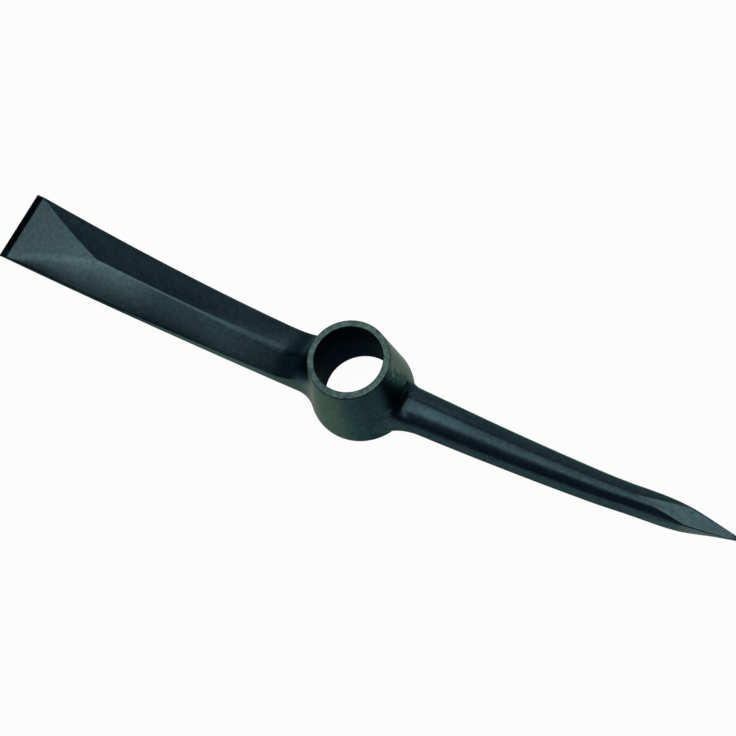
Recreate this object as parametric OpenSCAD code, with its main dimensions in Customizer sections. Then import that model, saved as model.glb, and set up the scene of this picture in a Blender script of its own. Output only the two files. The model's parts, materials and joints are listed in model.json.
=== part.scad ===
// Head of a pick axe: a tapered round eye with a chisel arm on one side and a pointed arm on the other.
// It stands on the wide rim of its eye, and both arms curve up towards the collar, where the handle leaves.

/* [Eye] */
// Height of the eye from its wide rim to its collar
eye_height = 60; // [54:1:70]
// Bore at the collar, where the handle comes out
throat_d = 45; // [42:0.5:48]
// Length of the straight bore behind the collar
throat_length = 20; // [14:1:26]
// Bore at the wide rim, where the handle is driven in
rim_bore_d = 51.5; // [50:0.5:54]
// Wall of the eye at the collar
collar_wall = 4.5; // [3.5:0.25:6]
// Wall of the eye at the wide rim
rim_wall = 9.75; // [8:0.25:11]
// Height of the straight land above the wide rim
rim_land = 4; // [3:0.5:8]
// Bevel on the outer edges of rim and collar
rim_bevel = 1; // [0.5:0.1:1.2]
// Bevel round both mouths of the bore
mouth_bevel = 0.6; // [0.3:0.1:1]
// How far the wide rim stands out below the arms
rim_stand = 1.4; // [1.3:0.1:3]

/* [Chisel arm] */
// Reach from the eye's axis to the cutting edge
chisel_reach = 272; // [250:0.5:300]
// Width of the cutting edge
edge_width = 52.5; // [46:0.5:62]
// Width of the arm at the eye
chisel_root_width = 37.5; // [32:0.5:38]
// Thickness under the ridge, at the eye
ridge_root_thickness = 13; // [12.5:0.25:16]
// Thickness under the ridge, where the flat begins
ridge_end_thickness = 14; // [11:0.25:16]
// Thickness of the arm's sides, at the eye
side_root_thickness = 12; // [9:0.25:12.25]
// Thickness of the blade behind its bevel
edge_thickness = 4.5; // [3:0.25:6]
// Thickness left at the cutting edge
edge_land = 1; // [0.6:0.1:2]
// Length of the ground bevel at the cutting edge
bevel_length = 6.5; // [3:0.5:9]
// Length of the three-cornered flat behind the bevel
flat_length = 61; // [40:1:75]
// Flare of the arm's plan: 1 for straight sides, more for sides that spread towards the edge
plan_flare = 1.3; // [1:0.05:1.6]
// Radius of the curve under the arm
chisel_curve_r = 1040; // [850:10:1400]
// Forging draft of the arm's sides, in degrees
side_draft = 3; // [0:0.5:6]
// Radius of the fillets beside the arm, at the eye
chisel_fillet = 21; // [15:1:22]
// Radius of the fillet on top of the arm, at the eye
chisel_top_fillet = 30; // [16:1:32]

/* [Pointed arm] */
// Reach from the eye's axis to the point
point_reach = 265.5; // [245:0.5:300]
// Width of the arm at the eye
point_root_width = 30; // [25:0.5:32]
// Depth of the arm at the eye
point_root_depth = 21; // [20:0.5:26]
// Thickness of the arm where its facets begin
point_end_thickness = 19.5; // [16:0.5:22]
// Length of the ground point
point_length = 72; // [45:1:80]
// Lean of the point's sides towards its underside
point_lean = 0.5; // [0:0.05:0.6]
// Width left at the very tip
tip_width = 2.4; // [1.2:0.1:3]
// Radius of the arm's curve
point_curve_r = 760; // [600:10:1100]
// Distance from the eye's axis at which that curve begins
point_curve_start = 70; // [55:1:90]
// Radius of the fillet at the arm's broad side, at the eye
point_fillet = 38; // [22:1:40]
// Radius of the tighter fillet at its other side
point_back_fillet = 14; // [10:1:34]
// Radius of the fillet on top of the arm, at the eye
point_top_fillet = 5; // [4:1:22]

/* [Steel ends] */
// Length of the steel bit, from its scarf joint to the cutting edge
bit_length = 88; // [80:1:110]
// Length of the steel point, from its scarf joint to the tip
point_steel_length = 95; // [80:1:120]
// Bow of the steel point to one side
point_bow = 1.1; // [0:0.1:2]
// Slope of the scarf joints, as length along the arm for each unit of height
scarf_run = 1.2; // [0.6:0.1:1.6]

/* [Hidden] */
$fn = 96;

// The eye's radii and the heights at which its outline turns
throat_r = throat_d / 2;
rim_bore_r = rim_bore_d / 2;
collar_r = throat_r + collar_wall;
rim_r = rim_bore_r + rim_wall;
cone_top = eye_height - rim_bevel;

// Depth to which an arm's fillets run into the eye before the eye's wall cuts them off
fillet_bite = 1;
// Part of a fillet's quarter turn that is used
fillet_turn = 0.97;
// Half-width of the ridge's crown, and the rounding of the chisel arm's long edges
crown_half = 0.7;
edge_round = 1.2;
// Convexity of the ground point, and fullness of the bar below its middle
point_ogive = 2.12;
point_belly = 0.15;
// Smallest angle that a facet of the point takes up, and the angle at which facets meet
facet_start_angle = 15;
facet_end_angle = 42;
// Reach at which a foot begins, inside the eye, and reaches between which its sections straighten
foot_start = 0.75 * throat_r;
bend_start = 2 * rim_r;
bend_end = 3 * rim_r;
// Stations along a foot, an arm, the chisel's flat and the ground point
foot_steps = 12;
arm_steps = 9;
flat_steps = 5;
point_steps = 10;
// Points across each slope of the chisel arm's top
slope_points = 5;
// Room past the arms for the planes of the scarf joints
cut_room = 40;

function mix(a, b, t) = a + (b - a) * t;
function limit(v, low, high) = min(high, max(low, v));
function share(x, from, to) = (x - from) / (to - from);
// Height of an arc of radius r above its tangent, at distance d from where it touches
function arc_rise(r, d) = r - sqrt(r * r - d * d);
// Rise of a fillet of radius r, at distance d past the line where it begins
function fillet_rise(r, d) = arc_rise(r, limit(d, 0, fillet_turn * r));

// Outer radius of the eye at height z
function eye_r(z) = mix(rim_r, collar_r, limit(share(z, rim_land, cone_top), 0, 1));

// Distance from the eye's axis to the centre of a fillet of radius r, at height z
function fillet_centre(z, r) = eye_r(z) + r - fillet_bite;
// Angle from the arm's axis to the side of a foot of half-width w with a plan fillet of radius r,
// at distance s from the eye's axis and height z
function foot_angle(s, z, w, r) =
    let (
        far = fillet_centre(z, r),
        centre_y = w + r,
        centre_x = sqrt(far * far - centre_y * centre_y),
        turn = (s * s + far * far - r * r) / (2 * s * far)
    )
    s < norm([centre_x, w]) ? asin(centre_y / far) - acos(min(1, turn)) : asin(w / s);
// Point of an arm's section at distance s from the eye's axis, spread and raised where the arm's foot
// runs into the eye: there the sections bend round the eye
function foot_point(s, y, z, w, lift, side_r, top_r) =
    let (
        high = z + lift * fillet_rise(top_r, fillet_centre(z + top_r / 2, top_r) - s),
        wide = y / w * s * sin(foot_angle(s, high, w, side_r)),
        bend = limit(share(s, bend_end, bend_start), 0, 1)
    )
    [sqrt(s * s - bend * wide * wide), wide, high];
// Distances of a foot's sections from the eye's axis, at equal turns of its top fillet
function foot_stations(z, r) = concat(
    [foot_start],
    [for (i = [0:foot_steps - 1])
        fillet_centre(z + r / 2, r) - r * sin(mix(asin(fillet_turn), 0, i / foot_steps))]);

// Solid through a row of rings that all have the same number of points
module loft(rings) {
    count = len(rings[0]);
    last = len(rings) - 1;
    sides = [
        for (i = [0:last - 1], j = [0:count - 1])
            let (a = i * count + j, b = i * count + (j + 1) % count)
            each [[a, b, b + count], [a, b + count, a + count]]
    ];
    // Each end is a fan of triangles from a point on the underside
    pivot = floor(count / 2);
    near_end = [for (j = [1:count - 2]) [pivot, (pivot + j + 1) % count, (pivot + j) % count]];
    far_end = [for (face = near_end) [for (k = [2:-1:0]) last * count + face[k]]];
    polyhedron(points = [for (ring = rings) each ring], faces = concat(sides, near_end, far_end));
}

// Part of an arm that lies within an outline in the X-Z plane
module within(outline) {
    intersection() {
        children();
        rotate([90, 0, 0])
            linear_extrude(height = edge_width + cut_room, center = true)
                polygon(outline);
    }
}

// Outlines on both sides of a scarf joint that crosses height z at reach x
scarf_low = -cut_room;
scarf_high = eye_height + cut_room;
function scarf_x(x, z, height) = x + (z - height) * scarf_run;
function inner_side(x, z) = [
    [0, scarf_low],
    [scarf_x(x, z, scarf_low), scarf_low],
    [scarf_x(x, z, scarf_high), scarf_high],
    [0, scarf_high]
];
function outer_side(x, z, reach) = [
    [scarf_x(x, z, scarf_low), scarf_low],
    [reach + 2 * cut_room, scarf_low],
    [reach + 2 * cut_room, scarf_high],
    [scarf_x(x, z, scarf_high), scarf_high]
];

// Outline of the eye's outer wall, from the wide rim up to the collar
eye_outline = [
    [rim_r - rim_bevel, 0],
    [rim_r, rim_bevel],
    [rim_r, rim_land],
    [collar_r, cone_top],
    [collar_r - rim_bevel, eye_height]
];

// Outline of the bore, from the collar down to the wide rim
bore_outline = [
    [throat_r + mouth_bevel, eye_height],
    [throat_r, eye_height - mouth_bevel],
    [throat_r, eye_height - throat_length],
    [rim_bore_r, mouth_bevel],
    [rim_bore_r + mouth_bevel, 0]
];

// Eye: a turned cone with a tapered bore that widens away from the collar
module eye_socket() {
    color("#26363a")
        rotate_extrude()
            polygon(concat(eye_outline, bore_outline));
}

// Solid that the feet of the arms are cut to, the outer shape of the eye
module eye_solid() {
    rotate_extrude()
        polygon(concat([[0, 0]], eye_outline, [[0, eye_height]]));
}

// Chisel arm: reaches at which its flat and its bevel begin
bevel_start = chisel_reach - bevel_length;
flat_start = bevel_start - flat_length;

function chisel_half(x) =
    mix(chisel_root_width, edge_width, pow(max(0, share(x, rim_r, chisel_reach)), plan_flare)) / 2;
function chisel_under(x) = rim_stand + arc_rise(chisel_curve_r, x);
function side_thickness(x) =
    x > bevel_start
        ? mix(edge_thickness, edge_land, share(x, bevel_start, chisel_reach))
        : mix(edge_thickness, side_root_thickness, pow(share(x, bevel_start, rim_r), 2));
function ridge_thickness(x) = mix(ridge_root_thickness, ridge_end_thickness, share(x, rim_r, flat_start));
// Height of the flat, which runs level from the ridge to the whole width of the bevel
function flat_height(x) = mix(
    chisel_under(flat_start) + ridge_end_thickness,
    chisel_under(bevel_start) + edge_thickness,
    share(x, flat_start, bevel_start));

// Corner of a section, rounded between its neighbours by a curve that starts at distance c from it
function corner(before, at, after, c) =
    let (
        one = at + c * (before - at) / norm(before - at),
        two = at + c * (after - at) / norm(after - at)
    )
    [one, (one + 2 * at + two) / 4, two];

// Half of the chisel arm's section, from the crown of its ridge to the middle of its underside
function chisel_half_section(x) =
    let (
        w = chisel_half(x),
        under = chisel_under(x),
        side = side_thickness(x),
        ridge = ridge_thickness(x),
        top_half = w - side * tan(side_draft),
        level = x >= bevel_start ? side : x > flat_start ? flat_height(x) - under : ridge,
        flat_half = top_half * share(level, ridge, side),
        crown = [limit(flat_half, crown_half, top_half - 2 * edge_round), under + level],
        crease = [top_half, under + side],
        foot = [w, under],
        round_off = min(edge_round, 0.4 * side),
        shoulder = corner(crown, crease, foot, round_off)
    )
    concat(
        [for (i = [0:slope_points - 1]) mix(crown, shoulder[0], i / slope_points)],
        shoulder,
        corner(crease, foot, [0, under], round_off));

// Ring of the chisel arm at reach x, with its foot where that is near the eye
function chisel_ring(x) =
    let (
        half = chisel_half_section(x),
        count = len(half),
        w = chisel_half(x),
        under = chisel_under(x),
        whole = concat(half, [for (i = [count - 1:-1:0]) [-half[i][0], half[i][1]]])
    )
    [
        for (p = whole)
            foot_point(x, p[0], p[1], w, limit((p[1] - under) / side_thickness(x), 0, 1),
                chisel_fillet, chisel_top_fillet)
    ];

chisel_stations = concat(
    foot_stations(rim_stand + ridge_root_thickness, chisel_top_fillet),
    [for (i = [0:arm_steps - 1]) mix(rim_r + chisel_top_fillet, flat_start, i / arm_steps)],
    [for (i = [0:flat_steps]) mix(flat_start, bevel_start, i / flat_steps)],
    [chisel_reach]);

// The whole forging of the chisel arm, before its end is cut off and its foot is cut to the eye
module chisel_forging() {
    mirror([1, 0, 0])
        loft([for (x = chisel_stations) chisel_ring(x)]);
}

// Where the chisel's scarf joint crosses the arm
bit_joint_x = chisel_reach - bit_length;
bit_joint_z = chisel_under(bit_joint_x) + ridge_thickness(bit_joint_x) / 2;

function mirrored(outline) = [for (p = outline) [-p[0], p[1]]];

// Chisel arm: flat underneath and ridged on top, its flared foot cut to the cone of the eye
module chisel_arm() {
    color("#2b3f45")
        difference() {
            within(mirrored(inner_side(bit_joint_x, bit_joint_z)))
                chisel_forging();
            eye_solid();
        }
}

// Chisel bit: the hardened end, with a three-cornered flat and a ground bevel
module chisel_bit() {
    color("#3b5158")
        within(mirrored(outer_side(bit_joint_x, bit_joint_z, chisel_reach)))
            chisel_forging();
}

// Pointed arm: reach at which its point begins
point_start = point_reach - point_length;

function bar_share(x) = limit(share(x, rim_r, point_start), 0, 1);
function bar_half_width(x) = mix(point_root_width, point_end_thickness, bar_share(x)) / 2;
function bar_half_depth(x) = mix(point_root_depth, point_end_thickness, bar_share(x)) / 2;
function bar_height(x) =
    rim_stand + point_root_depth / 2 + arc_rise(point_curve_r, max(0, x - point_curve_start));
// Size of the ground point at reach x, as a share of the bar's own
function point_size(x) =
    let (ground = limit(share(x, point_start, point_reach), 0, 1))
    max(tip_width / point_end_thickness, 1 - pow(ground, point_ogive));

// Where the point's scarf joint crosses the arm
point_joint_x = point_reach - point_steel_length;
point_joint_z = bar_height(point_joint_x);
// Distance of the steel point's middle from the plane through both arms, at reach x
function bow_y(x) = point_bow * pow(sin(180 * limit(share(x, point_joint_x, point_reach), 0, 1)), 2);

// Directions of a ring's points, with the middle and both edges of each of the four facets among them
function facet_angle(size) = limit(acos(size), facet_start_angle, facet_end_angle);
function ring_angles(edge) = [
    for (quarter = [0:90:270])
        each [
            quarter,
            quarter + edge,
            for (t = [0.25:0.25:0.75]) quarter + mix(edge, 90 - edge, t),
            quarter + 90 - edge
        ]
];

// Ring of the pointed arm at reach x: an oval bar that is ground to four facets at its end
function point_ring(x) =
    let (
        size = point_size(x),
        edge = facet_angle(size),
        rounded = min(1, size / cos(facet_end_angle)),
        a = bar_half_width(x),
        b = bar_half_depth(x),
        middle = bar_height(x)
    )
    [
        for (angle = ring_angles(edge))
            let (
                reach = min(rounded, size / max(abs(cos(angle)), abs(sin(angle)))),
                rise = reach * cos(angle),
                lean = 1 + point_lean * (1 - size) * min(0, rise / size),
                belly = 1 - point_belly * rise,
                side_r = sin(angle) > 0 ? point_back_fillet : point_fillet
            )
            [0, bow_y(x), 0]
                + foot_point(x, a * reach * sin(angle) * lean * belly, middle + b * rise, a, max(0, rise),
                    side_r, point_top_fillet)
    ];

point_foot_r = max(point_fillet, point_top_fillet);
point_stations = concat(
    foot_stations(rim_stand + point_root_depth, point_foot_r),
    [for (i = [0:arm_steps - 1]) mix(rim_r + point_foot_r, point_start, i / arm_steps)],
    [for (i = [0:point_steps]) mix(point_start, point_reach, i / point_steps)]);

// The whole forging of the pointed arm, before its end is cut off and its foot is cut to the eye
module point_forging() {
    loft([for (x = point_stations) point_ring(x)]);
}

// Pointed arm: an oval bar that tapers from its flared foot on the eye
module point_arm() {
    color("#2b3f45")
        difference() {
            within(inner_side(point_joint_x, point_joint_z))
                point_forging();
            eye_solid();
        }
}

// Pick point: the hardened end, ground to four convex facets
module pick_point() {
    color("#3b5158")
        within(outer_side(point_joint_x, point_joint_z, point_reach))
            point_forging();
}

eye_socket();
chisel_arm();
chisel_bit();
point_arm();
pick_point();
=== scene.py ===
import json
import math

import bpy
import numpy as np
from mathutils import Matrix, Vector


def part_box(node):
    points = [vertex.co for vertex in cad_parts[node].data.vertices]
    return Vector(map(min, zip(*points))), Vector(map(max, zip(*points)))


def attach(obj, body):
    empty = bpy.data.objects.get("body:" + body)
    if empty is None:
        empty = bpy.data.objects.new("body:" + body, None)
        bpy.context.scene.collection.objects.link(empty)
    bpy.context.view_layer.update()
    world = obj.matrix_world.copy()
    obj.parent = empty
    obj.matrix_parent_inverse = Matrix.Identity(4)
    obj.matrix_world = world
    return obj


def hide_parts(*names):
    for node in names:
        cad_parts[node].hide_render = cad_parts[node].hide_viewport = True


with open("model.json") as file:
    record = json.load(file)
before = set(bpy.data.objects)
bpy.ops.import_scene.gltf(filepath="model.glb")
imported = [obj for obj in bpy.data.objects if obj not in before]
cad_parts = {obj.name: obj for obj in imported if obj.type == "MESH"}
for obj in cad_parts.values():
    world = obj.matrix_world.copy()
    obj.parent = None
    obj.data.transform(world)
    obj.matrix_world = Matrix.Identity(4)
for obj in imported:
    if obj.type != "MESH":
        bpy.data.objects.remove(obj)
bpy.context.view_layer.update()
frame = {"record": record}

# Eye: the forged ring that takes the handle, a turned cone whose bore narrows towards the collar.
# Steel, dipped in a thin blue-green black paint that lets the grain of the forging show.
mm = 0.001
eye_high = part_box("eye_socket")[1]
eye_height = eye_high.z
rim_radius = eye_high.x
handle_bore = next(mount for mount in frame["record"]["mounts"] if mount["name"] == "handle_bore")
throat_radius = handle_bore["dims"]["r_mm"] * mm
collar_wall = 4.5 * mm
rim_wall = 9.75 * mm
collar_radius = throat_radius + collar_wall
rim_bore_radius = rim_radius - rim_wall
throat_length = 20 * mm
rim_land = 4 * mm
eye_edge_round = 0.7 * mm
eye_round_steps = 5
eye_segments = 180
eye_wall_cuts = 9
crease_angle = math.radians(16)


class Wire:
    """A socket of a node tree that takes part in arithmetic: each operator adds a Math node."""

    def __init__(self, socket):
        self.socket = socket
        self.tree = socket.id_data

    @staticmethod
    def node(tree, kind, settings=None, sockets=None, output=0):
        """Adds a node, sets it, fills or links its sockets, and gives one of its outputs."""
        made = tree.nodes.new(kind)
        for name, value in (settings or {}).items():
            setattr(made, name, value)
        for key, value in (sockets or {}).items():
            if isinstance(value, Wire):
                tree.links.new(value.socket, made.inputs[key])
            else:
                made.inputs[key].default_value = value
        return Wire(made.outputs[output]) if made.outputs else None

    def math(self, operation, *values):
        """Adds a Math node on these values."""
        return Wire.node(self.tree, "ShaderNodeMath", {"operation": operation}, dict(enumerate(values)))

    def __add__(self, other):
        return self.math("ADD", self, other)

    def __radd__(self, other):
        return self.math("ADD", other, self)

    def __sub__(self, other):
        return self.math("SUBTRACT", self, other)

    def __rsub__(self, other):
        return self.math("SUBTRACT", other, self)

    def __mul__(self, other):
        return self.math("MULTIPLY", self, other)

    def __rmul__(self, other):
        return self.math("MULTIPLY", other, self)

    def ramp(self, start, end):
        """0 before start, 1 past end, smooth between; start may be the larger."""
        low, high = (start, end) if start < end else (end, start)
        smooth = Wire.node(
            self.tree,
            "ShaderNodeMapRange",
            {"interpolation_type": "SMOOTHSTEP"},
            {"Value": self, "From Min": low, "From Max": high},
        )
        return smooth if start < end else 1 - smooth


def noise(tree, place, size, detail, seed):
    """Noise from 0 to 1 whose lumps are about size across."""
    return Wire.node(
        tree,
        "ShaderNodeTexNoise",
        {"noise_dimensions": "4D"},
        {"Vector": place, "W": seed, "Scale": 1 / size, "Detail": detail},
    )


def blended(tree, share, first, second):
    """Colour between two colours."""
    return Wire.node(
        tree,
        "ShaderNodeMix",
        {"data_type": "RGBA"},
        {"Factor": share, 6: first, 7: second},
        output=2,
    )


paint_dark = (0.013, 0.027, 0.033, 1)
paint_light = (0.036, 0.066, 0.074, 1)
# Bare steel where the paint is worn, also mixed in for painted pale sheen
bare_steel_and_sheen = (0.16, 0.19, 0.19, 1)
# Painted shade: the near-black colour painted inside the bore, a recess in shade
bore_shade = (0.009, 0.012, 0.024, 1)
sheen_tint = (0.42, 0.47, 0.43, 1)
paint_roughness = 0.34
raw_roughness = 0.45
patch_size = 45 * mm
grain_size = 3.2 * mm
speck_size = 0.75 * mm
pit_size = 1.7 * mm
pit_onset = (0.7, 0.78)
worn_onset = (0.55, 0.95)
worn_bare = 0.3
scraped_onset = (1.2, 1.7)
scraped_bare = 0.35
bump_height = 0.12 * mm
bump_strength = 0.25
# How much the patches, the grain, the specks and the pits change the paint's lightness, its thin places
# and painted sheen, its wear, its relief and its roughness
light_middle = 0.5
light_patch = 0.5
light_grain = 0.9
light_speck = 1.1
light_pit = 0.6
thin_middle = 0.9
thin_grain = 1.2
thin_speck = 1.4
thin_pit = 0.7
worn_grain = 0.9
worn_speck = 0.6
relief_grain = 0.5
relief_speck = 0.25
relief_pit = 0.5
rough_patch = 0.12
rough_speck = 0.16
rough_pit = 0.1


def forge_grain(tree, place):
    """Grain of the forging, from about -0.5 to 0.5."""
    return noise(tree, place, grain_size, detail=4, seed=2.0) - 0.5


def forge_paint(name, thin_and_sheen_paint, finish):
    """Satin paint over forge grain, lighter in specks.

    The colour it is given is its paint where it lies thin and its painted sheen. finish(tree, place)
    gives the wear of the edges with painted pale sheen, the tone of the paint with painted shade and
    highlights, where it lies thin and where sheen is painted, and where the bore is painted near black
    as shade.
    """
    material = bpy.data.materials.new(name)
    material.use_nodes = True
    tree = material.node_tree
    tree.nodes.clear()
    place = Wire.node(tree, "ShaderNodeTexCoord", output=3)

    patches = noise(tree, place, patch_size, detail=2, seed=1.0) - 0.5
    grain = forge_grain(tree, place)
    specks = noise(tree, place, speck_size, detail=2, seed=3.0) - 0.5
    pits = noise(tree, place, pit_size, detail=1, seed=4.0).ramp(*pit_onset)

    wear_and_sheen, tone_and_shade, thin_and_sheen, shaded_bore = finish(tree, place)
    mottle = light_middle + light_patch * patches + light_grain * grain + light_speck * specks
    colour = blended(tree, mottle.ramp(0, 1) * (1 - light_pit * pits), paint_dark, paint_light)
    # Painted shade and light: the tone darkens or lightens the paint where shade or light would fall
    colour = Wire.node(tree, "ShaderNodeVectorMath", {"operation": "SCALE"}, {0: colour, "Scale": tone_and_shade})
    speckled = thin_middle + thin_grain * grain + thin_speck * specks
    # Painted sheen: the pale green paint also stands in for light reflected off the surface
    colour = blended(tree, thin_and_sheen * speckled * (1 - thin_pit * pits), colour, thin_and_sheen_paint)
    colour = blended(tree, shaded_bore, colour, bore_shade)
    worn_and_sheen = (wear_and_sheen + worn_grain * grain + worn_speck * specks).ramp(*worn_onset)
    scraped_and_sheen = wear_and_sheen.ramp(*scraped_onset)
    colour = blended(tree, worn_bare * worn_and_sheen + scraped_bare * scraped_and_sheen, colour, bare_steel_and_sheen)

    relief = relief_grain * grain + relief_speck * specks - relief_pit * pits
    bump = Wire.node(
        tree,
        "ShaderNodeBump",
        None,
        {"Strength": bump_strength, "Distance": bump_height, "Height": relief},
    )
    roughness = paint_roughness + rough_patch * patches + rough_speck * specks + rough_pit * pits
    roughness = roughness + raw_roughness * shaded_bore
    surface = Wire.node(
        tree,
        "ShaderNodeBsdfPrincipled",
        None,
        {
            "Base Color": colour,
            "Metallic": 1.0,
            "Roughness": roughness,
            "Specular Tint": sheen_tint,
            "Normal": bump,
        },
    )
    Wire.node(tree, "ShaderNodeOutputMaterial", None, {"Surface": surface})
    return material


# The eye's finish by depth below the collar's face and by distance from the bore, with a band of painted
# shade just under the collar's lip
collar_worn = 2 * mm
face_edge = (0.5 * mm, 0.1 * mm)
bore_edge = (0.8 * mm, 0.2 * mm)
collar_shade_start = (0.5 * mm, 0.9 * mm)
collar_shade_end = (2.6 * mm, 1.8 * mm)
collar_shade_dark = 0.6
collar_shade_cover = 0.9
# Its finish round the wall and the face: an azimuth in degrees, and the cosines of the angle to it
# between which the paint changes. Painted sheen lies beside the chisel arm, painted light on the far
# side and painted shade beside the pointed arm's flank
near_pale_azimuth = -125
near_pale = (0.4, 1.0)
far_pale_azimuth = 40
far_pale = (-0.4, 0.6)
pale_sheen = 1.05
far_border_azimuth = 110
far_border = (-0.17, 0.15)
far_border_slant = 12
far_border_middle = 40 * mm
far_border_low = 30 * mm
far_border_ragged = 0.8
flank_azimuth = -35
flank_onset = (0.92, 0.985)
flank_shade = 0.25
face_pale = 0.52
face_ragged = 1.5
face_dim_azimuth = -100
face_dim_onset = (0.2, 0.8)
face_dim = 0.18


def eye_finish(tree, place):
    """The collar's face is paler, its outer edge is worn, and the bore is painted near black as shade.

    The wall carries a painted sheen beside the chisel arm and painted light on the far side as far as a
    ragged border, with painted shade under the collar's lip and beside the pointed arm.
    """
    height = Wire.node(tree, "ShaderNodeSeparateXYZ", None, {"Vector": place}, output=2)
    across = Wire.node(tree, "ShaderNodeVectorMath", {"operation": "MULTIPLY"}, {0: place, 1: (1, 1, 0)})
    radius = Wire.node(tree, "ShaderNodeVectorMath", {"operation": "LENGTH"}, {0: across}, output=1)
    grain = forge_grain(tree, place)

    def facing(azimuth):
        """Cosine of the angle between an azimuth and that of the place."""
        turn = math.radians(azimuth)
        sides = {0: across, 1: (math.cos(turn), math.sin(turn), 0)}
        along = Wire.node(tree, "ShaderNodeVectorMath", {"operation": "DOT_PRODUCT"}, sides, output=1)
        return along.math("DIVIDE", along, radius)

    below_face = eye_height - height
    face = below_face.ramp(*face_edge)
    worn_edge = below_face.ramp(collar_worn, 0) * (collar_radius - radius).ramp(collar_worn, 0)
    # Painted shade: the bore's inside is painted near black
    bore_side = (radius - rim_bore_radius).ramp(*bore_edge) * (1 - face)
    # Painted shade: a darker band just under the collar's lip
    shade_under_collar = below_face.ramp(*collar_shade_start) * below_face.ramp(*collar_shade_end)

    # Painted sheen: the wall beside the chisel arm is painted pale green, as light glancing off it
    chisel_side = facing(near_pale_azimuth).ramp(*near_pale)
    # Painted shade: the wall is darker beside the pointed arm's flank
    beside_flank = facing(flank_azimuth).ramp(*flank_onset) * (1 - face)
    # Painted light: the far side is painted pale and speckled up to a ragged border, where light falls
    # on it
    slant = far_border_slant * (height.math("MAXIMUM", height, far_border_low) - far_border_middle)
    far_side = (facing(far_border_azimuth) + slant + far_border_ragged * grain).ramp(*far_border)
    far_side = far_side * facing(far_pale_azimuth).ramp(*far_pale)

    wall_sheen = (chisel_side + far_side) * (1 - collar_shade_cover * shade_under_collar)
    dimmed = face_dim * facing(face_dim_azimuth).ramp(*face_dim_onset)
    face_paleness = face_pale - dimmed + face_ragged * grain
    thin_and_sheen = wall_sheen + face * (face_paleness - wall_sheen)
    wear_and_sheen = (worn_edge + pale_sheen * far_side * (1 - face) * (1 - shade_under_collar)) * (1 - bore_side)
    tone_and_shade = (1 - collar_shade_dark * shade_under_collar) * (1 - flank_shade * beside_flank)
    return wear_and_sheen, tone_and_shade, thin_and_sheen, bore_side


def eye_tree():
    """Geometry Nodes: the wall's section, its corners rounded, is swept round the bore."""
    tree = bpy.data.node_groups.new("eye_revolve", "GeometryNodeTree")
    sizes = {
        "Height": eye_height,
        "Rim radius": rim_radius,
        "Collar radius": collar_radius,
        "Throat radius": throat_radius,
        "Rim bore radius": rim_bore_radius,
        "Throat length": throat_length,
        "Rim land": rim_land,
        "Edge round": eye_edge_round,
    }
    for name in sizes:
        tree.interface.new_socket(name, in_out="INPUT", socket_type="NodeSocketFloat")
    tree.interface.new_socket("Segments", in_out="INPUT", socket_type="NodeSocketInt")
    tree.interface.new_socket("Paint", in_out="INPUT", socket_type="NodeSocketMaterial")
    tree.interface.new_socket("Geometry", in_out="OUTPUT", socket_type="NodeSocketGeometry")
    given = tree.nodes.new("NodeGroupInput")
    size = {socket.name: Wire(socket) for socket in given.outputs if socket.name}

    # The section lies in a plane whose X is the distance from the sweep and whose Y points down
    sweep_radius = size["Throat radius"]
    corners = [
        (0.0, size["Rim radius"]),
        (size["Rim land"], size["Rim radius"]),
        (size["Height"], size["Collar radius"]),
        (size["Height"], size["Throat radius"]),
        (size["Height"] - size["Throat length"], size["Throat radius"]),
        (0.0, size["Rim bore radius"]),
    ]
    number = Wire.node(tree, "GeometryNodeInputIndex")
    choice = tree.nodes.new("GeometryNodeIndexSwitch")
    choice.data_type = "VECTOR"
    while len(choice.index_switch_items) < len(corners):
        choice.index_switch_items.new()
    tree.links.new(number.socket, choice.inputs["Index"])
    for place, (height, radius) in enumerate(corners):
        sides = {"X": radius - sweep_radius, "Y": height * -1}
        corner = Wire.node(tree, "ShaderNodeCombineXYZ", None, sides)
        tree.links.new(corner.socket, choice.inputs[1 + place])

    line = Wire.node(tree, "GeometryNodeMeshLine", None, {"Count": len(corners)})
    curve = Wire.node(tree, "GeometryNodeMeshToCurve", None, {"Mesh": line})
    closed = Wire.node(tree, "GeometryNodeSetSplineCyclic", None, {"Geometry": curve, "Cyclic": True})
    section = Wire.node(
        tree, "GeometryNodeSetPosition", None, {"Geometry": closed, "Position": Wire(choice.outputs[0])}
    )
    rounded = Wire.node(
        tree,
        "GeometryNodeFilletCurve",
        {"mode": "POLY"},
        {
            "Curve": section,
            "Count": eye_round_steps,
            "Radius": size["Edge round"],
            "Limit Radius": True,
        },
    )
    cut = Wire.node(tree, "GeometryNodeSubdivideCurve", None, {"Curve": rounded, "Cuts": eye_wall_cuts})
    sweep = Wire.node(
        tree,
        "GeometryNodeCurvePrimitiveCircle",
        {"mode": "RADIUS"},
        {"Resolution": size["Segments"], "Radius": sweep_radius},
    )
    wall = Wire.node(tree, "GeometryNodeCurveToMesh", None, {"Curve": sweep, "Profile Curve": cut})
    real = Wire.node(tree, "GeometryNodeRealizeInstances", None, {"Geometry": wall})
    painted = Wire.node(
        tree, "GeometryNodeSetMaterial", None, {"Geometry": real, "Material": size["Paint"]}
    )
    Wire.node(tree, "NodeGroupOutput", None, {"Geometry": painted})
    return tree, sizes


def outward(mesh):
    """Turns a closed mesh so that its faces point outwards, and shades it smooth between its creases."""
    mesh.calc_loop_triangles()
    volume = 0.0
    for triangle in mesh.loop_triangles:
        one, two, three = (mesh.vertices[index].co for index in triangle.vertices)
        volume += one.dot(two.cross(three))
    if volume < 0:
        mesh.flip_normals()
    mesh.shade_smooth()
    mesh.set_sharp_from_angle(angle=crease_angle)
    mesh.validate()


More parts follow.
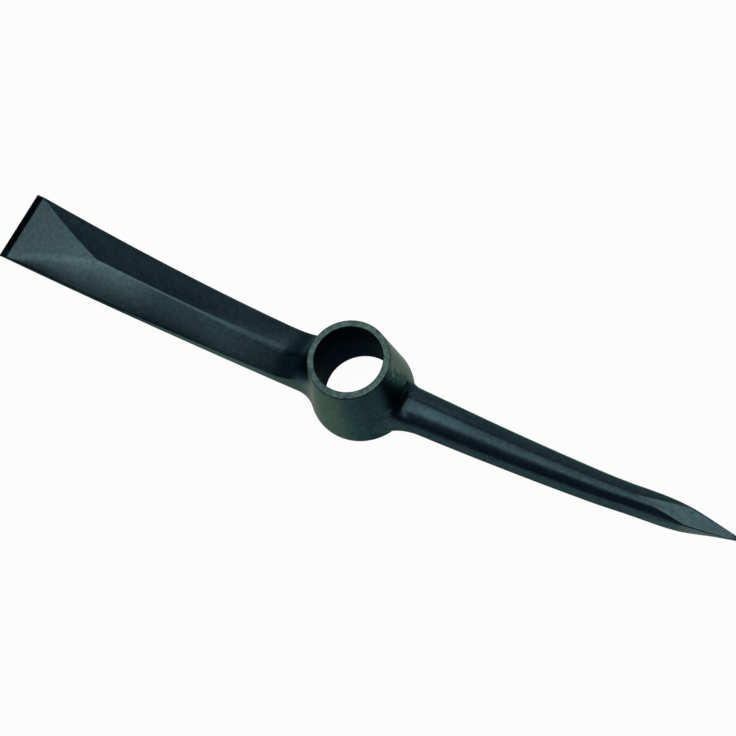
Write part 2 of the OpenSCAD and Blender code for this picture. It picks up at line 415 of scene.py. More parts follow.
# Pale green where the paint lies thin, also painted on as sheen and light
eye_thin_and_sheen_paint = (0.08, 0.13, 0.1, 1)
eye_paint = forge_paint("eye_paint", eye_thin_and_sheen_paint, eye_finish)
eye_nodes, eye_sizes = eye_tree()
eye_holder = bpy.data.objects.new("eye_holder", bpy.data.meshes.new("eye_holder"))
bpy.context.scene.collection.objects.link(eye_holder)
eye_modifier = eye_holder.modifiers.new("eye_revolve", "NODES")
eye_modifier.node_group = eye_nodes
for item in eye_nodes.interface.items_tree:
    if item.name in eye_sizes:
        eye_modifier[item.identifier] = eye_sizes[item.name]
    elif item.name == "Segments":
        eye_modifier[item.identifier] = eye_segments
    elif item.name == "Paint":
        eye_modifier[item.identifier] = eye_paint
bpy.context.view_layer.update()
evaluated_eye = eye_holder.evaluated_get(bpy.context.evaluated_depsgraph_get())
eye_mesh = bpy.data.meshes.new_from_object(evaluated_eye)
bpy.data.objects.remove(eye_holder)
eye_mesh.name = "forged_eye"
outward(eye_mesh)
eye = bpy.data.objects.new("forged_eye", eye_mesh)
bpy.context.scene.collection.objects.link(eye)
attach(eye, "root")
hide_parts("eye_socket")

# Chisel arm: the forged bar that carries the chisel, flat underneath and roofed by two slopes that
# meet in a ridge. Its foot flares into the wall of the eye, where it is forged on and painted over.
bit_low, bit_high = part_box("chisel_bit")
chisel_reach = -bit_low.x
edge_width = bit_high.y - bit_low.y
chisel_root_width = 37.5 * mm
ridge_root_thickness = 13 * mm
ridge_end_thickness = 14 * mm
side_root_thickness = 12 * mm
edge_thickness = 4.5 * mm
edge_land = 1 * mm
bevel_length = 6.5 * mm
flat_length = 61 * mm
plan_flare = 1.3
chisel_curve_radius = 1040 * mm
side_draft = math.radians(3)
chisel_side_fillet = 21 * mm
chisel_top_fillet = 30 * mm
rim_stand = 1.4 * mm
bit_length = 88 * mm
scarf_run = 1.2
bevel_start = chisel_reach - bevel_length
flat_start = bevel_start - flat_length
cone_slope = (rim_radius - collar_radius) / (eye_height - rim_land)


def mixed(first, second, share):
    """Value that lies a share of the way from the first to the second."""
    return first + (second - first) * share


def share_of(value, start, end):
    """Share of the way from start to end at which a value lies."""
    return (value - start) / (end - start)


def eased(value, start, end):
    """0 before start, 1 past end, smooth between."""
    share = np.clip(share_of(value, start, end), 0, 1)
    return share * share * (3 - 2 * share)


def arc_rise(radius, distance):
    """Height of an arc above its tangent, at a distance from where it touches."""
    return radius - np.sqrt(radius * radius - distance * distance)


def eye_radius(height):
    """Radius of the eye's wall at a height."""
    return rim_radius - cone_slope * np.maximum(0, height - rim_land)


def off_wall(ring):
    """Distance of the points of a ring from the wall of the eye."""
    return np.hypot(ring[:, 0], ring[:, 1]) - eye_radius(ring[:, 2])


def foot_spread(reach, height, half_width, fillet):
    """Angle round the eye of the edge of a foot, whose plan fillet touches both arm and eye."""
    far = eye_radius(height) + fillet
    centre_y = half_width + fillet
    centre_x = np.sqrt(far * far - centre_y * centre_y)
    turn = (reach * reach + far * far - fillet * fillet) / (2 * reach * far)
    round_eye = np.arcsin(centre_y / far) - np.arccos(np.clip(turn, -1, 1))
    return np.where(reach < np.hypot(centre_x, half_width), round_eye, np.arcsin(half_width / reach))


foot_turns = 36
foot_passes = 4
run_steps = 12
skirt_length = 0.8 * mm
skirt_depth = 1.2 * mm
least_length = 1e-9


def foot_rings(section, top_fillet, foot_length):
    """Rings of an arm's foot, from inside the eye's wall out to where the fillets begin.

    section(reach) gives the y, z, half-width, lift and plan fillet of each line at its own reach. Past
    the top fillet, which may differ from line to line, the foot runs on to its full length.
    """
    rings = []
    stations = [(turn, 0.0) for turn in np.linspace(math.pi / 2, 0, foot_turns + 1)]
    run = foot_length - top_fillet
    if np.any(run > 0):
        stations += [(0.0, run * share) for share in np.linspace(0, 1, run_steps + 1)[1:]]
    for turn, past in stations:
        reach = eye_radius(rim_stand + top_fillet / 2) + top_fillet * (1 - math.sin(turn)) + past
        for _ in range(foot_passes):
            y, z, half_width, lift, side_fillet = section(reach)
            z = z + lift * top_fillet * (1 - math.cos(turn))
            reach = eye_radius(z) + top_fillet * (1 - math.sin(turn)) + past
        spread = reach * np.sin(foot_spread(reach, z, half_width, side_fillet))
        wide = y / half_width * spread
        rings.append(np.stack([np.sqrt(reach * reach - wide * wide), wide, z], axis=-1))
    # A narrow skirt runs on along the eye's wall, then turns in below its surface
    onward = rings[0] - rings[1]
    length = np.maximum(np.linalg.norm(onward, axis=-1, keepdims=True), least_length)
    skirt = rings[0] + onward / length * np.minimum(length, skirt_length)
    around = np.hypot(skirt[:, 0], skirt[:, 1])
    on_wall = eye_radius(skirt[:, 2]) / around
    skirt[:, :2] *= on_wall[:, None]
    under = skirt.copy()
    under[:, :2] *= (1 - skirt_depth / eye_radius(skirt[:, 2]))[:, None]
    return [under, skirt] + rings


def ring_faces(rings, columns):
    """Faces of a row of rings of so many columns each, closed at both ends."""
    faces = []
    for ring in range(rings - 1):
        for column in range(columns):
            near = ring * columns + column
            after = ring * columns + (column + 1) % columns
            faces.append((near, after, after + columns, near + columns))
    # Each end is closed by strips from the upper lines of the ring to the lower ones, which face away
    # from the other end
    half = columns // 2
    for first, kept_side in ((0, -1), ((rings - 1) * columns, 1)):
        for column in range(half // 2):
            for side in (1, -1):
                strip = [column, column + 1, half - column - 1, half - column]
                face = [first + (side * place) % columns for place in dict.fromkeys(strip)]
                faces.append(tuple(face if side == kept_side else reversed(face)))
    return faces


# Attributes of the paint: wear with painted sheen, tone with painted shade and light, thinness with
# painted sheen
finish_names = ("edge_wear_and_sheen", "paint_tone_and_shade", "thin_and_sheen_paint")


def forged_piece(name, rings, finish, material):
    """Closed mesh through a row of rings, with the finish of its paint as attributes."""
    points = np.concatenate(rings)
    mesh = bpy.data.meshes.new(name)
    mesh.from_pydata(points.tolist(), [], ring_faces(len(rings), len(rings[0])))
    mesh.update()
    for place, label in enumerate(finish_names):
        attribute = mesh.attributes.new(label, "FLOAT", "POINT")
        values = np.concatenate([ring[place] for ring in finish])
        attribute.data.foreach_set("value", values.astype(np.float32))
    mesh.materials.append(material)
    outward(mesh)
    piece = bpy.data.objects.new(name, mesh)
    bpy.context.scene.collection.objects.link(piece)
    return piece


def arm_finish(tree, place):
    """Wear, tone and thinness of the paint as the mesh carries them, painted light and shade included;
    no black bore.
    """
    wear_and_sheen, tone_and_shade, thin_and_sheen = (
        Wire.node(tree, "ShaderNodeAttribute", {"attribute_name": label}, output=2)
        for label in finish_names
    )
    return wear_and_sheen, tone_and_shade, thin_and_sheen, 0.0


def chisel_half_width(x):
    """Half the width of the chisel at its underside, which flares towards the edge."""
    flare = np.maximum(0, share_of(x, rim_radius, chisel_reach)) ** plan_flare
    return mixed(chisel_root_width, edge_width, flare) / 2


def chisel_under(x):
    """Height of the chisel's underside, which curves up towards the edge."""
    return rim_stand + arc_rise(chisel_curve_radius, x)


def side_thickness(x):
    """Thickness of the chisel along its sides, which thin towards the bevel and the edge."""
    body = mixed(edge_thickness, side_root_thickness, share_of(x, bevel_start, rim_radius) ** 2)
    bevel = mixed(edge_thickness, edge_land, share_of(x, bevel_start, chisel_reach))
    return np.where(x > bevel_start, bevel, body)


def ridge_thickness(x):
    """Thickness of the chisel under its ridge."""
    return mixed(ridge_root_thickness, ridge_end_thickness, share_of(x, rim_radius, flat_start))


flat_root_height = chisel_under(flat_start) + ridge_end_thickness
flat_end_height = chisel_under(bevel_start) + edge_thickness

# Roundings of the chisel's ridge, of the border of its flat and of its long edges, and its slopes' swell
ridge_crisp = 0.5 * mm
ridge_soft = 1.5 * mm
ridge_sharpens = (60 * mm, 150 * mm)
flat_border_far = 0.5 * mm
flat_border_near = 2.5 * mm
flat_border_starts = (flat_start - 15 * mm, flat_start + 25 * mm)
border_least_share = 0.35
long_edge_round = 1.2 * mm
edge_round_share = 0.4
slope_least = 0.5 * mm
slope_swell = 0.45 * mm
full_swell_drop = 6 * mm

# Paint of the chisel, which carries painted shade and light on its ridge, bevel, slopes and walls, with
# the reaches from the eye's axis, or the shares of a slope or an edge, between which it changes
flat_paint_starts = (flat_start - 8 * mm, flat_start + 8 * mm)
bevel_paint_starts = (bevel_start - 0.3 * mm, bevel_start + 0.3 * mm)
# The flat is painted paler than the slopes
flat_pale = 0.72
# Painted shade: the bevel at the cutting edge is painted dark, like the dark surroundings it reflects
bevel_shade = 0.3
ridge_shade_tones = (0.65, 1.2)
ridge_lightens = (70 * mm, 105 * mm)
ridge_worn_highlight = 0.8
ridge_highlight_grows = (80 * mm, 160 * mm)
ridge_highlight_pale = 0.6
crown_worn_highlight = 0.3
foot_light = 1.6
foot_ends = (44 * mm, 60 * mm)
far_hollow_starts = (46 * mm, 53 * mm)
far_hollow_ends = (54 * mm, 66 * mm)
far_hollow_pale = 1.1
far_slope_pale = 0.3
far_slope_pale_fades = (90 * mm, 140 * mm)
near_slope_shade_tones = (0.27, 0.64)
near_slope_lightens = (58 * mm, 110 * mm)
near_slope_pale = 0.1
near_slope_pales = (125 * mm, 160 * mm)
near_slope_sheen_grows = (145 * mm, 205 * mm)
near_slope_sheen_fade = 0.5
near_slope_sheen_fades = (210 * mm, 250 * mm)
slope_low = (0.7, 1)
slope_low_dark = 0.2
slope_sheen_fade = 0.45
wall_root_sheen = 0.4
wall_sheen_grows = (42 * mm, 75 * mm)
wall_end_shade = 0.4
wall_darkens = (120 * mm, 190 * mm)
wall_worn = 0.6
wall_wear_starts = (50 * mm, 75 * mm)
wall_wear_ends = (90 * mm, 140 * mm)
upper_edge_worn = 0.7
upper_edge_thins = (0, 0.5)

crown_columns = 6
border_columns = 6
slope_columns = 10
edge_columns = 6
wall_columns = 5
under_columns = 9


def roof_paint(x, near_side):
    """Tone and paleness of the paint on a slope of the roof, with painted shade, light and sheen.

    The far slope is painted paler in the hollow of its foot. The near one is painted light in its foot,
    painted dark as shade past it, lighter further out, and carries a painted sheen beside the flat.
    """
    if not near_side:
        hollow = eased(x, *far_hollow_starts) * (1 - eased(x, *far_hollow_ends))
        return 1 + far_hollow_pale * hollow, far_slope_pale * (1 - eased(x, *far_slope_pale_fades))
    in_foot = 1 - eased(x, *foot_ends)
    tone_and_shade = mixed(*near_slope_shade_tones, eased(x, *near_slope_lightens))
    tone_and_shade = tone_and_shade + near_slope_pale * eased(x, *near_slope_pales)
    thin_and_sheen = eased(x, *near_slope_sheen_grows) - near_slope_sheen_fade * eased(x, *near_slope_sheen_fades)
    return mixed(tone_and_shade, foot_light, in_foot), thin_and_sheen


def bent(before, corner, after, share):
    """Curve that rounds a corner between two points."""
    return mixed(mixed(before, corner, share), mixed(corner, after, share), share)


def peak(share):
    """0 at both ends, 1 in the middle."""
    return 1 - abs(2 * share - 1)


def chisel_half_section(x, near_side):
    """Distance from the middle, height and finish of half a section of the chisel, from its ridge down.

    x holds one reach for each line, so that a ring may be bent or slanted.
    """
    lines = iter(range(x.shape[-1]))
    width = chisel_half_width(x)
    under = chisel_under(x)
    side = side_thickness(x)
    ridge = ridge_thickness(x)
    top = width - side * math.tan(side_draft)
    flat_level = mixed(flat_root_height, flat_end_height, share_of(x, flat_start, bevel_start)) - under
    level = np.where(x >= bevel_start, side, np.where(x > flat_start, flat_level, ridge))
    ridge_round = mixed(ridge_soft, ridge_crisp, eased(x, *ridge_sharpens))
    flat_border = flat_border_near if near_side else flat_border_far
    border = mixed(ridge_round, flat_border, eased(x, *flat_border_starts))
    rounding = np.minimum(long_edge_round, edge_round_share * side)
    slope_end = top - rounding
    flat = np.clip(top * (ridge - level) / (ridge - side), border, slope_end - border - slope_least)
    slope = (level - side) / (top - flat)

    def roof(y):
        """Height of the flat, the ridge or a slope at a distance from the middle."""
        past = y - flat
        drop = np.where(past > border, past, np.maximum(0, past + border) ** 2 / (4 * border))
        along = np.clip(share_of(y, flat, top), 0, 1)
        swell = slope_swell * 4 * along * (1 - along) * eased(level - side, 0, full_swell_drop)
        return under + level - slope * drop + swell

    border_in = np.maximum(flat - border, border_least_share * (flat + border))
    border_out = flat + border
    wall_top = under + side - rounding
    wall_bottom = under + rounding
    wall_top_y = top + rounding * math.tan(side_draft)
    wall_bottom_y = width - rounding * math.tan(side_draft)

    on_flat = eased(x, *flat_paint_starts)
    on_bevel = eased(x, *bevel_paint_starts)
    roof_light_and_shade, roof_paleness = roof_paint(x, near_side)
    # Painted shade darkens the ridge near the foot; along it runs a pale worn line that is also a
    # painted highlight
    ridge_shade = mixed(*ridge_shade_tones, eased(x, *ridge_lightens))
    ridge_wear_highlight = ridge_worn_highlight * (1 - on_flat) * eased(x, *ridge_highlight_grows)
    crown_wear_highlight = crown_worn_highlight * ridge_wear_highlight
    crown_shade = mixed(mixed(ridge_shade, 1, on_flat), bevel_shade, on_bevel)
    crown_paleness = mixed(roof_paleness, flat_pale, on_flat) * (1 - on_bevel)
    crown_paleness = np.maximum(crown_paleness, ridge_highlight_pale * ridge_wear_highlight)
    # Painted sheen on the long walls past the foot, and painted shade on them towards the chisel's end
    wall_dark = eased(x, *wall_darkens)
    wall_shade = mixed(1, wall_end_shade, wall_dark)
    wall_sheen = mixed(wall_root_sheen, 1, eased(x, *wall_sheen_grows)) * (1 - wall_dark)
    wall_wear = wall_worn * eased(x, *wall_wear_starts) * (1 - eased(x, *wall_wear_ends))

    y = np.zeros_like(x)
    z = np.zeros_like(x)
    wear_and_sheen = np.zeros_like(x)
    tone_and_shade = wall_shade.copy()
    thin_and_sheen = wall_sheen.copy()
    for share in np.linspace(0, 1, crown_columns, endpoint=False):
        line = next(lines)
        y[line] = (border_in * share)[line]
        z[line] = roof(y)[line]
        wear_and_sheen[line] = crown_wear_highlight[line]
        tone_and_shade[line] = crown_shade[line]
        thin_and_sheen[line] = crown_paleness[line]
    for share in np.linspace(0, 1, border_columns, endpoint=False):
        line = next(lines)
        y[line] = mixed(border_in, border_out, share)[line]
        z[line] = roof(y)[line]
        wear_and_sheen[line] = (crown_wear_highlight * (1 - share))[line]
        tone_and_shade[line] = mixed(crown_shade, roof_light_and_shade, share)[line]
        thin_and_sheen[line] = mixed(crown_paleness, roof_paleness, share)[line]
    for share in np.linspace(0, 1, slope_columns, endpoint=False):
        line = next(lines)
        y[line] = mixed(border_out, slope_end, share)[line]
        z[line] = roof(y)[line]
        # Painted shade: each slope darkens and loses its painted sheen towards its lower edge
        tone_and_shade[line] = (roof_light_and_shade * (1 - slope_low_dark * eased(share, *slope_low)))[line]
        thin_and_sheen[line] = (roof_paleness * (1 - slope_sheen_fade * share))[line]
    for share in np.linspace(0, 1, edge_columns):
        line = next(lines)
        y[line] = bent(slope_end, top, wall_top_y, share)[line]
        z[line] = bent(roof(slope_end), under + side, wall_top, share)[line]
        wear_and_sheen[line] = upper_edge_worn * peak(share)
        tone_and_shade[line] = mixed(roof_light_and_shade, wall_shade, share)[line]
        thin_and_sheen[line] = mixed(roof_paleness, wall_sheen, eased(share, *upper_edge_thins))[line]
    for share in np.linspace(0, 1, wall_columns + 2)[1:-1]:
        line = next(lines)
        y[line] = mixed(wall_top_y, wall_bottom_y, share)[line]
        z[line] = mixed(wall_top, wall_bottom, share)[line]
        wear_and_sheen[line] = wall_wear[line]
    for share in np.linspace(0, 1, edge_columns):
        line = next(lines)
        y[line] = bent(wall_bottom_y, width, width - rounding, share)[line]
        z[line] = bent(wall_bottom, under, under, share)[line]
        wear_and_sheen[line] = peak(share)
    for share in np.linspace(0, 1, under_columns + 1)[1:]:
        line = next(lines)
        y[line] = ((width - rounding) * (1 - share))[line]
        z[line] = under[line]
    return y, z, (wear_and_sheen, tone_and_shade, thin_and_sheen)


roof_columns = crown_columns + border_columns + slope_columns
chisel_half_lines = roof_columns + 2 * edge_columns + wall_columns + under_columns
chisel_lines = 2 * (chisel_half_lines - 1)


def chisel_section(x):
    """y, z and finish of every line of the chisel, each at its own reach."""
    x = np.broadcast_to(x, (chisel_lines,)).astype(float)
    far_side = x[:chisel_half_lines]
    near_side = np.concatenate([x[:1], x[:chisel_half_lines - 2:-1]])
    y, z, finish = chisel_half_section(far_side, False)
    y_near, z_near, finish_near = chisel_half_section(near_side, True)
    y = np.concatenate([y, -y_near[-2:0:-1]])
    z = np.concatenate([z, z_near[-2:0:-1]])
    finish = [np.concatenate([far, near[-2:0:-1]]) for far, near in zip(finish, finish_near)]
    return y, z, finish


def chisel_foot(reach):
    """Section of the chisel as foot_rings asks for it."""
    y, z, _ = chisel_section(reach)
    x = np.broadcast_to(reach, y.shape)
    lift = np.clip((z - chisel_under(x)) / side_thickness(x), 0, 1)
    return y, z, chisel_half_width(x), lift, chisel_side_fillet


eye_paint_run = 4.5 * mm


def chisel_foot_finish(ring):
    """Finish of a ring of the foot, which takes on the eye's painted sheen and painted light where it
    meets its wall.
    """
    wear_and_sheen, tone_and_shade, thin_and_sheen = chisel_section(ring[:, 0])[2]
    azimuth = np.arctan2(ring[:, 1], -ring[:, 0])
    near = eased(np.cos(azimuth - math.radians(near_pale_azimuth)), *near_pale)
    far = eased(np.cos(azimuth - math.radians(far_pale_azimuth)), *far_pale)
    at_wall = 1 - eased(off_wall(ring), 0, eye_paint_run)
    wear_and_sheen = mixed(wear_and_sheen, pale_sheen * far, at_wall)
    return wear_and_sheen, mixed(tone_and_shade, 1, at_wall), mixed(thin_and_sheen, near + far, at_wall)


scarf_passes = 12


def scarf_reach(section, joint_x, joint_z):
    """Reach of each line where the slanting scarf joint cuts it."""
    reach = joint_x
    for _ in range(scarf_passes):
        reach = joint_x + (joint_z - section(reach)[1]) * scarf_run
    return reach


def rings_between(section, start, end, steps):
    """Rings and their finishes from one reach to another."""
    rings, finish = [], []
    for share in steps:
        reach = mixed(start, end, share)
        y, z, ring_finish = section(reach)
        rings.append(np.stack([np.broadcast_to(reach, y.shape), y, z], axis=-1))
        finish.append(ring_finish)
    return rings, finish


bit_joint_x = chisel_reach - bit_length
bit_joint_z = chisel_under(bit_joint_x) + ridge_thickness(bit_joint_x) / 2
bit_scarf = scarf_reach(chisel_section, bit_joint_x, bit_joint_z)
towards_chisel = np.array([-1, 1, 1])
bar_rows = 60
bar_steps = np.linspace(0, 1, bar_rows + 1)[1:]
# Pale green where the paint lies thin, also painted on as sheen
arm_thin_and_sheen_paint = (0.066, 0.11, 0.108, 1)

chisel_foot_rings = foot_rings(chisel_foot, chisel_top_fillet, chisel_top_fillet)
chisel_foot_end = chisel_foot_rings[-1][:, 0]
chisel_bar_rings, chisel_bar_finish = rings_between(
    chisel_section, chisel_foot_end, bit_scarf, bar_steps
)
chisel_arm_rings = [ring * towards_chisel for ring in chisel_foot_rings + chisel_bar_rings]
chisel_arm_finish = [chisel_foot_finish(ring) for ring in chisel_foot_rings] + chisel_bar_finish
arm_paint = forge_paint("arm_paint", arm_thin_and_sheen_paint, arm_finish)
chisel_arm = forged_piece("chisel_bar", chisel_arm_rings, chisel_arm_finish, arm_paint)
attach(chisel_arm, "root")
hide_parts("chisel_arm")

# Chisel bit: the hardened end of the arm, scarfed to it and painted over. A three-cornered flat is
# ground back from the cutting edge into the ridge, and a short bevel makes the edge itself.
bit_rows = 12
flat_rows = 62
bevel_rows = 6
bit_steps = np.linspace(0, 1, bit_rows + 1)[:-1]
flat_steps = np.linspace(0, 1, flat_rows + 1)
bevel_steps = np.linspace(0, 1, bevel_rows + 1)[1:]
# Pale green where the paint lies thin, also painted on as sheen
end_thin_and_sheen_paint = (0.066, 0.11, 0.112, 1)

ridge_rings, ridge_finish = rings_between(chisel_section, bit_scarf, flat_start, bit_steps)
flat_rings, flat_finish = rings_between(chisel_section, flat_start, bevel_start, flat_steps)
bevel_rings, bevel_finish = rings_between(chisel_section, bevel_start, chisel_reach, bevel_steps)
bit_rings = [ring * towards_chisel for ring in ridge_rings + flat_rings + bevel_rings]
bit_finish = ridge_finish + flat_finish + bevel_finish
end_paint = forge_paint("end_paint", end_thin_and_sheen_paint, arm_finish)
chisel_bit = forged_piece("chisel_blade", bit_rings, bit_finish, end_paint)
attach(chisel_bit, "root")
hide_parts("chisel_bit")

# Pointed arm: an oval bar that tapers from its flared foot on the eye and curves up towards the collar.
# Drawn out from the same steel under the hammer, which leaves ten faint flats along it, then painted.
point_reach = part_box("pick_point")[1].x
point_root_width = 30 * mm
point_root_depth = 21 * mm
point_end_thickness = 19.5 * mm
point_length = 72 * mm
point_lean = 0.5
tip_width = 1.8 * mm
point_curve_radius = 760 * mm
point_curve_start = 70 * mm
point_side_fillet = 38 * mm
point_back_fillet = 14 * mm
point_top_fillet = 5 * mm
point_near_fillet = 14 * mm
point_near_flank = (0.25, 0.8)
point_foot_length = 24 * mm
point_steel_length = 95 * mm
point_bow = 1.1 * mm
point_ogive = 2.12
point_straight = 0.75
point_belly = 0.15
facet_start_angle = math.radians(15)
facet_end_angle = math.radians(42)
point_start = point_reach - point_length
point_joint_x = point_reach - point_steel_length
hammer_sides = 10
hammer_flat = 0.0065
hammer_turn = math.radians(2)
hammer_fades = (0.75, 1)
facet_columns = 6
round_columns = 8
point_lines = 4 * (2 * facet_columns + round_columns)

# Paint of the pointed arm, with a painted highlight on the top of its root and a painted reflection
# along its underside, and the shares of a half section, the reaches from the eye's axis or the shares of
# the point's length between which it changes
# The point's facets are painted paler towards the tip
facet_pale = 0.55
facet_pale_grows = (0, 0.3)
under_sheen_side = (0.1, 0.6)
under_sheen_grows = (50 * mm, 90 * mm)
under_sheen_speckle = 1.1
under_speckle_side = (0.2, 0.6)
under_speckle_grows = (60 * mm, 110 * mm)
side_facet_worn = 1.4
side_facet_edge = (0, 0.1)
side_facet_wears = (0.35, 0.65)
crown_highlight = 0.4
crown_top = (0.6, 0.95)
crown_darkens = (60 * mm, 95 * mm)
tip_dark = 0.6
tip_darkens = (point_reach - 6 * mm, point_reach - 2 * mm)


def bar_middle(x):
    """Height of the middle of the bar, which runs level and then curves up."""
    past_start = np.maximum(0, x - point_curve_start)
    return rim_stand + point_root_depth / 2 + arc_rise(point_curve_radius, past_start)


def bar_taper(x):
    """Share of the bar's taper that is done, from the eye to where the point begins."""
    return np.clip(share_of(x, rim_radius, point_start), 0, 1)


def bar_half_width(x):
    """Half the width of the bar."""
    return mixed(point_root_width, point_end_thickness, bar_taper(x)) / 2


def point_outline(x):
    """y, z, finish and rise of every line of the pointed arm, each at its own reach."""
    x = np.broadcast_to(x, (point_lines,)).astype(float)
    along = np.clip(share_of(x, point_start, point_reach), 0, 1)
    straight = share_of(along, point_straight, 1)
    size = 1 - np.minimum(along, point_straight) ** point_ogive
    size = np.where(straight > 0, mixed(size, tip_width / point_end_thickness, straight), size)
    edge = np.clip(np.arccos(np.minimum(1, size)), facet_start_angle, facet_end_angle)
    rounded = np.minimum(1, size / math.cos(facet_end_angle))

    quarter_turn = math.pi / 2
    angle = np.zeros(point_lines)
    thin_and_sheen = np.zeros(point_lines)
    facet_pale_here = facet_pale * eased(along, *facet_pale_grows)
    line = 0
    for quarter in range(4):
        start = quarter * quarter_turn
        for share in np.linspace(0, 1, facet_columns, endpoint=False):
            angle[line] = start + edge[line] * share
            thin_and_sheen[line] = facet_pale_here[line]
            line += 1
        for share in np.linspace(0, 1, round_columns, endpoint=False):
            angle[line] = start + mixed(edge, quarter_turn - edge, share)[line]
            line += 1
        for share in np.linspace(0, 1, facet_columns, endpoint=False):
            angle[line] = start + quarter_turn - edge[line] * (1 - share)
            thin_and_sheen[line] = facet_pale_here[line]
            line += 1

    half_width = bar_half_width(x)
    half_depth = mixed(point_root_depth, point_end_thickness, bar_taper(x)) / 2
    hammering = hammer_flat * np.cos(hammer_sides * (angle - hammer_turn)) * eased(size, *hammer_fades)
    to_facet = size / np.maximum(abs(np.cos(angle)), abs(np.sin(angle)))
    reach = np.minimum(rounded, to_facet) * (1 - hammering)
    rise = reach * np.cos(angle)
    lean = 1 + point_lean * (1 - size) * np.minimum(0, rise / size)
    belly = 1 - point_belly * rise
    bow = point_bow * np.sin(math.pi * np.clip(share_of(x, point_joint_x, point_reach), 0, 1)) ** 2
    y = half_width * reach * np.sin(angle) * lean * belly + bow
    z = bar_middle(x) + half_depth * rise

    below = -rise / size
    on_side = eased(abs(np.sin(angle)) - abs(np.cos(angle)), *side_facet_edge)
    on_side = on_side * eased(along, *side_facet_wears)
    at_tip = eased(x, *tip_darkens)
    # Painted highlight: the top of the bar is painted lighter near its root
    at_crown = eased(rise, *crown_top) * (1 - eased(x, *crown_darkens))
    # Painted reflection: the underside is painted paler and speckled further out along the bar
    wear_and_sheen = under_sheen_speckle * eased(below, *under_speckle_side) * eased(x, *under_speckle_grows)
    wear_and_sheen = np.maximum(wear_and_sheen, side_facet_worn * on_side)
    tone_and_shade = (1 - tip_dark * at_tip) * (1 + crown_highlight * at_crown)
    thin_and_sheen = np.maximum(thin_and_sheen, eased(below, *under_sheen_side) * eased(x, *under_sheen_grows))
    thin_and_sheen = np.maximum(thin_and_sheen, on_side) * (1 - at_tip)
    return y, z, (wear_and_sheen, tone_and_shade, thin_and_sheen), rise


def point_section(x):
    """Outline of the pointed arm as rings_between asks for it."""
    y, z, finish, _ = point_outline(x)
    return y, z, finish


def point_foot(reach):
    """Section of the pointed arm as foot_rings asks for it."""
    y, z, _, rise = point_outline(reach)
    fillet = np.where(y > 0, point_back_fillet, point_side_fillet)
    return y, z, bar_half_width(np.broadcast_to(reach, y.shape)), np.maximum(0, rise), fillet


# Paint of its foot, by distance from the eye's wall, by height and by azimuth: painted shade in the
# hollow of its upper fillet and painted light on its far flank
hollow_ends = (2 * mm, 6 * mm)
hollow_rises = (12 * mm, 24 * mm)
hollow_near_dark = 0.35
hollow_top_dark = 0.8
hollow_top = (math.radians(-25), math.radians(-12))
far_flank = (math.radians(21), math.radians(29))
far_flank_ends = (6 * mm, 12 * mm)


def point_foot_finish(ring):
    """Finish of a ring of the foot: painted shade in the hollow of its upper fillet and painted light on
    its far flank.
    """
    wear_and_sheen, tone_and_shade, thin_and_sheen = point_section(ring[:, 0])[2]
    from_wall = off_wall(ring)
    azimuth = np.arctan2(ring[:, 1], ring[:, 0])
    # Painted shade in the hollow of the upper fillet, painted light on the far flank
    in_hollow = (1 - eased(from_wall, *hollow_ends)) * eased(ring[:, 2], *hollow_rises)
    dark = in_hollow * mixed(hollow_near_dark, hollow_top_dark, eased(azimuth, *hollow_top))
    pale = eased(azimuth, *far_flank) * (1 - eased(from_wall, *far_flank_ends))
    return np.maximum(wear_and_sheen, pale_sheen * pale), tone_and_shade * (1 - dark), np.maximum(thin_and_sheen, pale)


point_joint_z = bar_middle(point_joint_x)
point_scarf = scarf_reach(point_section, point_joint_x, point_joint_z)

foot_y, _, foot_half_width, _, _ = point_foot(rim_radius)
on_near_flank = eased(-foot_y / foot_half_width, *point_near_flank)
point_fillets = mixed(point_top_fillet, point_near_fillet, on_near_flank)
point_foot_rings = foot_rings(point_foot, point_fillets, point_foot_length)
point_foot_end = point_foot_rings[-1][:, 0]
point_bar_rings, point_bar_finish = rings_between(
    point_section, point_foot_end, point_scarf, bar_steps
)
point_arm_rings = point_foot_rings + point_bar_rings
point_arm_finish = [point_foot_finish(ring) for ring in point_foot_rings] + point_bar_finish
point_arm = forged_piece("point_bar", point_arm_rings, point_arm_finish, arm_paint)
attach(point_arm, "root")
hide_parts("point_arm")

# Pick point: the hardened end of the bar, scarfed on and ground to four convex facets, whose last
# quarter runs straight to a small blunt tip. Painted with the rest.
tip_rows = 16
facet_rows = 60
facet_crowding = 1.3
tip_steps = np.linspace(0, 1, tip_rows + 1)[:-1]
facet_steps = 1 - (1 - np.linspace(0, 1, facet_rows + 1)) ** facet_crowding

tip_rings, tip_finish = rings_between(point_section, point_scarf, point_start, tip_steps)
facet_rings, facet_finish = rings_between(point_section, point_start, point_reach, facet_steps)
pick_point = forged_piece("pick_tip", tip_rings + facet_rings, tip_finish + facet_finish, end_paint)
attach(pick_point, "root")
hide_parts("pick_point")

# Studio: a pale floor that the eye stands on, a softbox overhead, a dim panel behind and the camera,
# which looks steeply down on the collar from the side of the point.
half_floor = 6.0
floor_glow = 0.96
floor_grey = (0.88, 0.88, 0.88, 1)
floor_white = (1, 1, 1, 1)
sky_colour = (0.5, 0.65, 1.0, 1)
sky_strength = 0.14

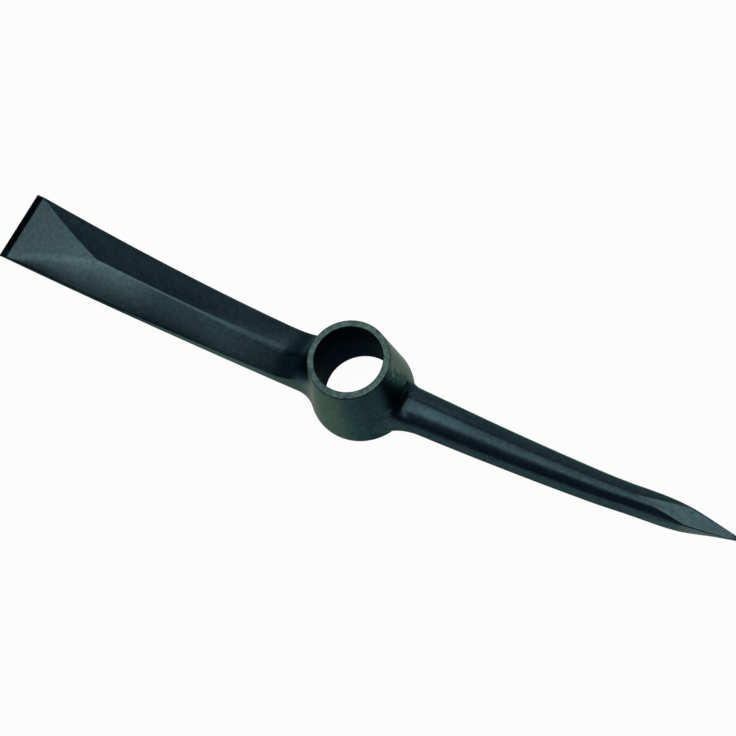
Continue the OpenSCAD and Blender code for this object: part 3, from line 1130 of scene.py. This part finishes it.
floor_corners = [(half_floor * x, half_floor * y, 0) for x, y in ((-1, -1), (1, -1), (1, 1), (-1, 1))]
floor_mesh = bpy.data.meshes.new("floor")
floor_mesh.from_pydata(floor_corners, [], [(0, 1, 2, 3)])
floor_paper = bpy.data.materials.new("floor_paper")
floor_paper.use_nodes = True
paper = floor_paper.node_tree
paper.nodes.clear()
light_path = paper.nodes.new("ShaderNodeLightPath")
seen = Wire(light_path.outputs["Is Camera Ray"])
mirrored = Wire(light_path.outputs["Is Glossy Ray"])
through = Wire(light_path.outputs["Is Transmission Ray"])
looks = seen + mirrored + through
shown = looks.math("MINIMUM", looks, 1.0)
matt = Wire.node(paper, "ShaderNodeBsdfDiffuse", None, {"Color": floor_grey})
white = Wire.node(paper, "ShaderNodeEmission", None, {"Color": floor_white, "Strength": 1.0})
sheet = Wire.node(paper, "ShaderNodeMixShader", None, {0: shown * floor_glow, 1: matt, 2: white})
Wire.node(paper, "ShaderNodeOutputMaterial", None, {"Surface": sheet})
floor_mesh.materials.append(floor_paper)
floor = bpy.data.objects.new("floor", floor_mesh)
bpy.context.scene.collection.objects.link(floor)

world = bpy.data.worlds.new("studio")
world.use_nodes = True
sky = world.node_tree.nodes["Background"]
sky.inputs["Color"].default_value = sky_colour
sky.inputs["Strength"].default_value = sky_strength
bpy.context.scene.world = world


def softbox(name, place, width, height, radiance):
    """White area lamp of a given radiance that faces the foot of the eye."""
    lamp = bpy.data.lights.new(name, "AREA")
    lamp.shape = "RECTANGLE"
    lamp.size = width
    lamp.size_y = height
    lamp.energy = radiance * math.pi * width * height
    lamp_object = bpy.data.objects.new(name, lamp)
    lamp_object.location = place
    lamp_object.rotation_euler = (-Vector(place)).to_track_quat("-Z", "Y").to_euler()
    bpy.context.scene.collection.objects.link(lamp_object)


softbox("overhead", place=(-0.2, 0.0, 1.35), width=1.3, height=1.25, radiance=1.7)
softbox("behind", place=(-0.2, 1.7, 0.75), width=2.2, height=1.2, radiance=0.5)

camera_azimuth = math.radians(-41.09)
camera_elevation = math.radians(66.6)
camera_roll = math.radians(-22.98)
camera_distance = 1005.86 * mm
camera_aim = Vector((-4.98 * mm, 16.73 * mm, 0))
camera_data = bpy.data.cameras.new("camera")
camera_data.sensor_width = 36
camera_data.lens = 72.25
camera = bpy.data.objects.new("camera", camera_data)
back = Vector((
    math.cos(camera_elevation) * math.cos(camera_azimuth),
    math.cos(camera_elevation) * math.sin(camera_azimuth),
    math.sin(camera_elevation),
))
level_right = Vector((-math.sin(camera_azimuth), math.cos(camera_azimuth), 0))
level_up = back.cross(level_right)
right = level_right * math.cos(camera_roll) + level_up * math.sin(camera_roll)
up = back.cross(right)
camera_turn = Matrix((right, up, back)).transposed().to_4x4()
camera.matrix_world = Matrix.Translation(camera_aim + back * camera_distance) @ camera_turn
bpy.context.scene.collection.objects.link(camera)
bpy.context.scene.camera = camera
bpy.context.scene.view_settings.view_transform = "Standard"
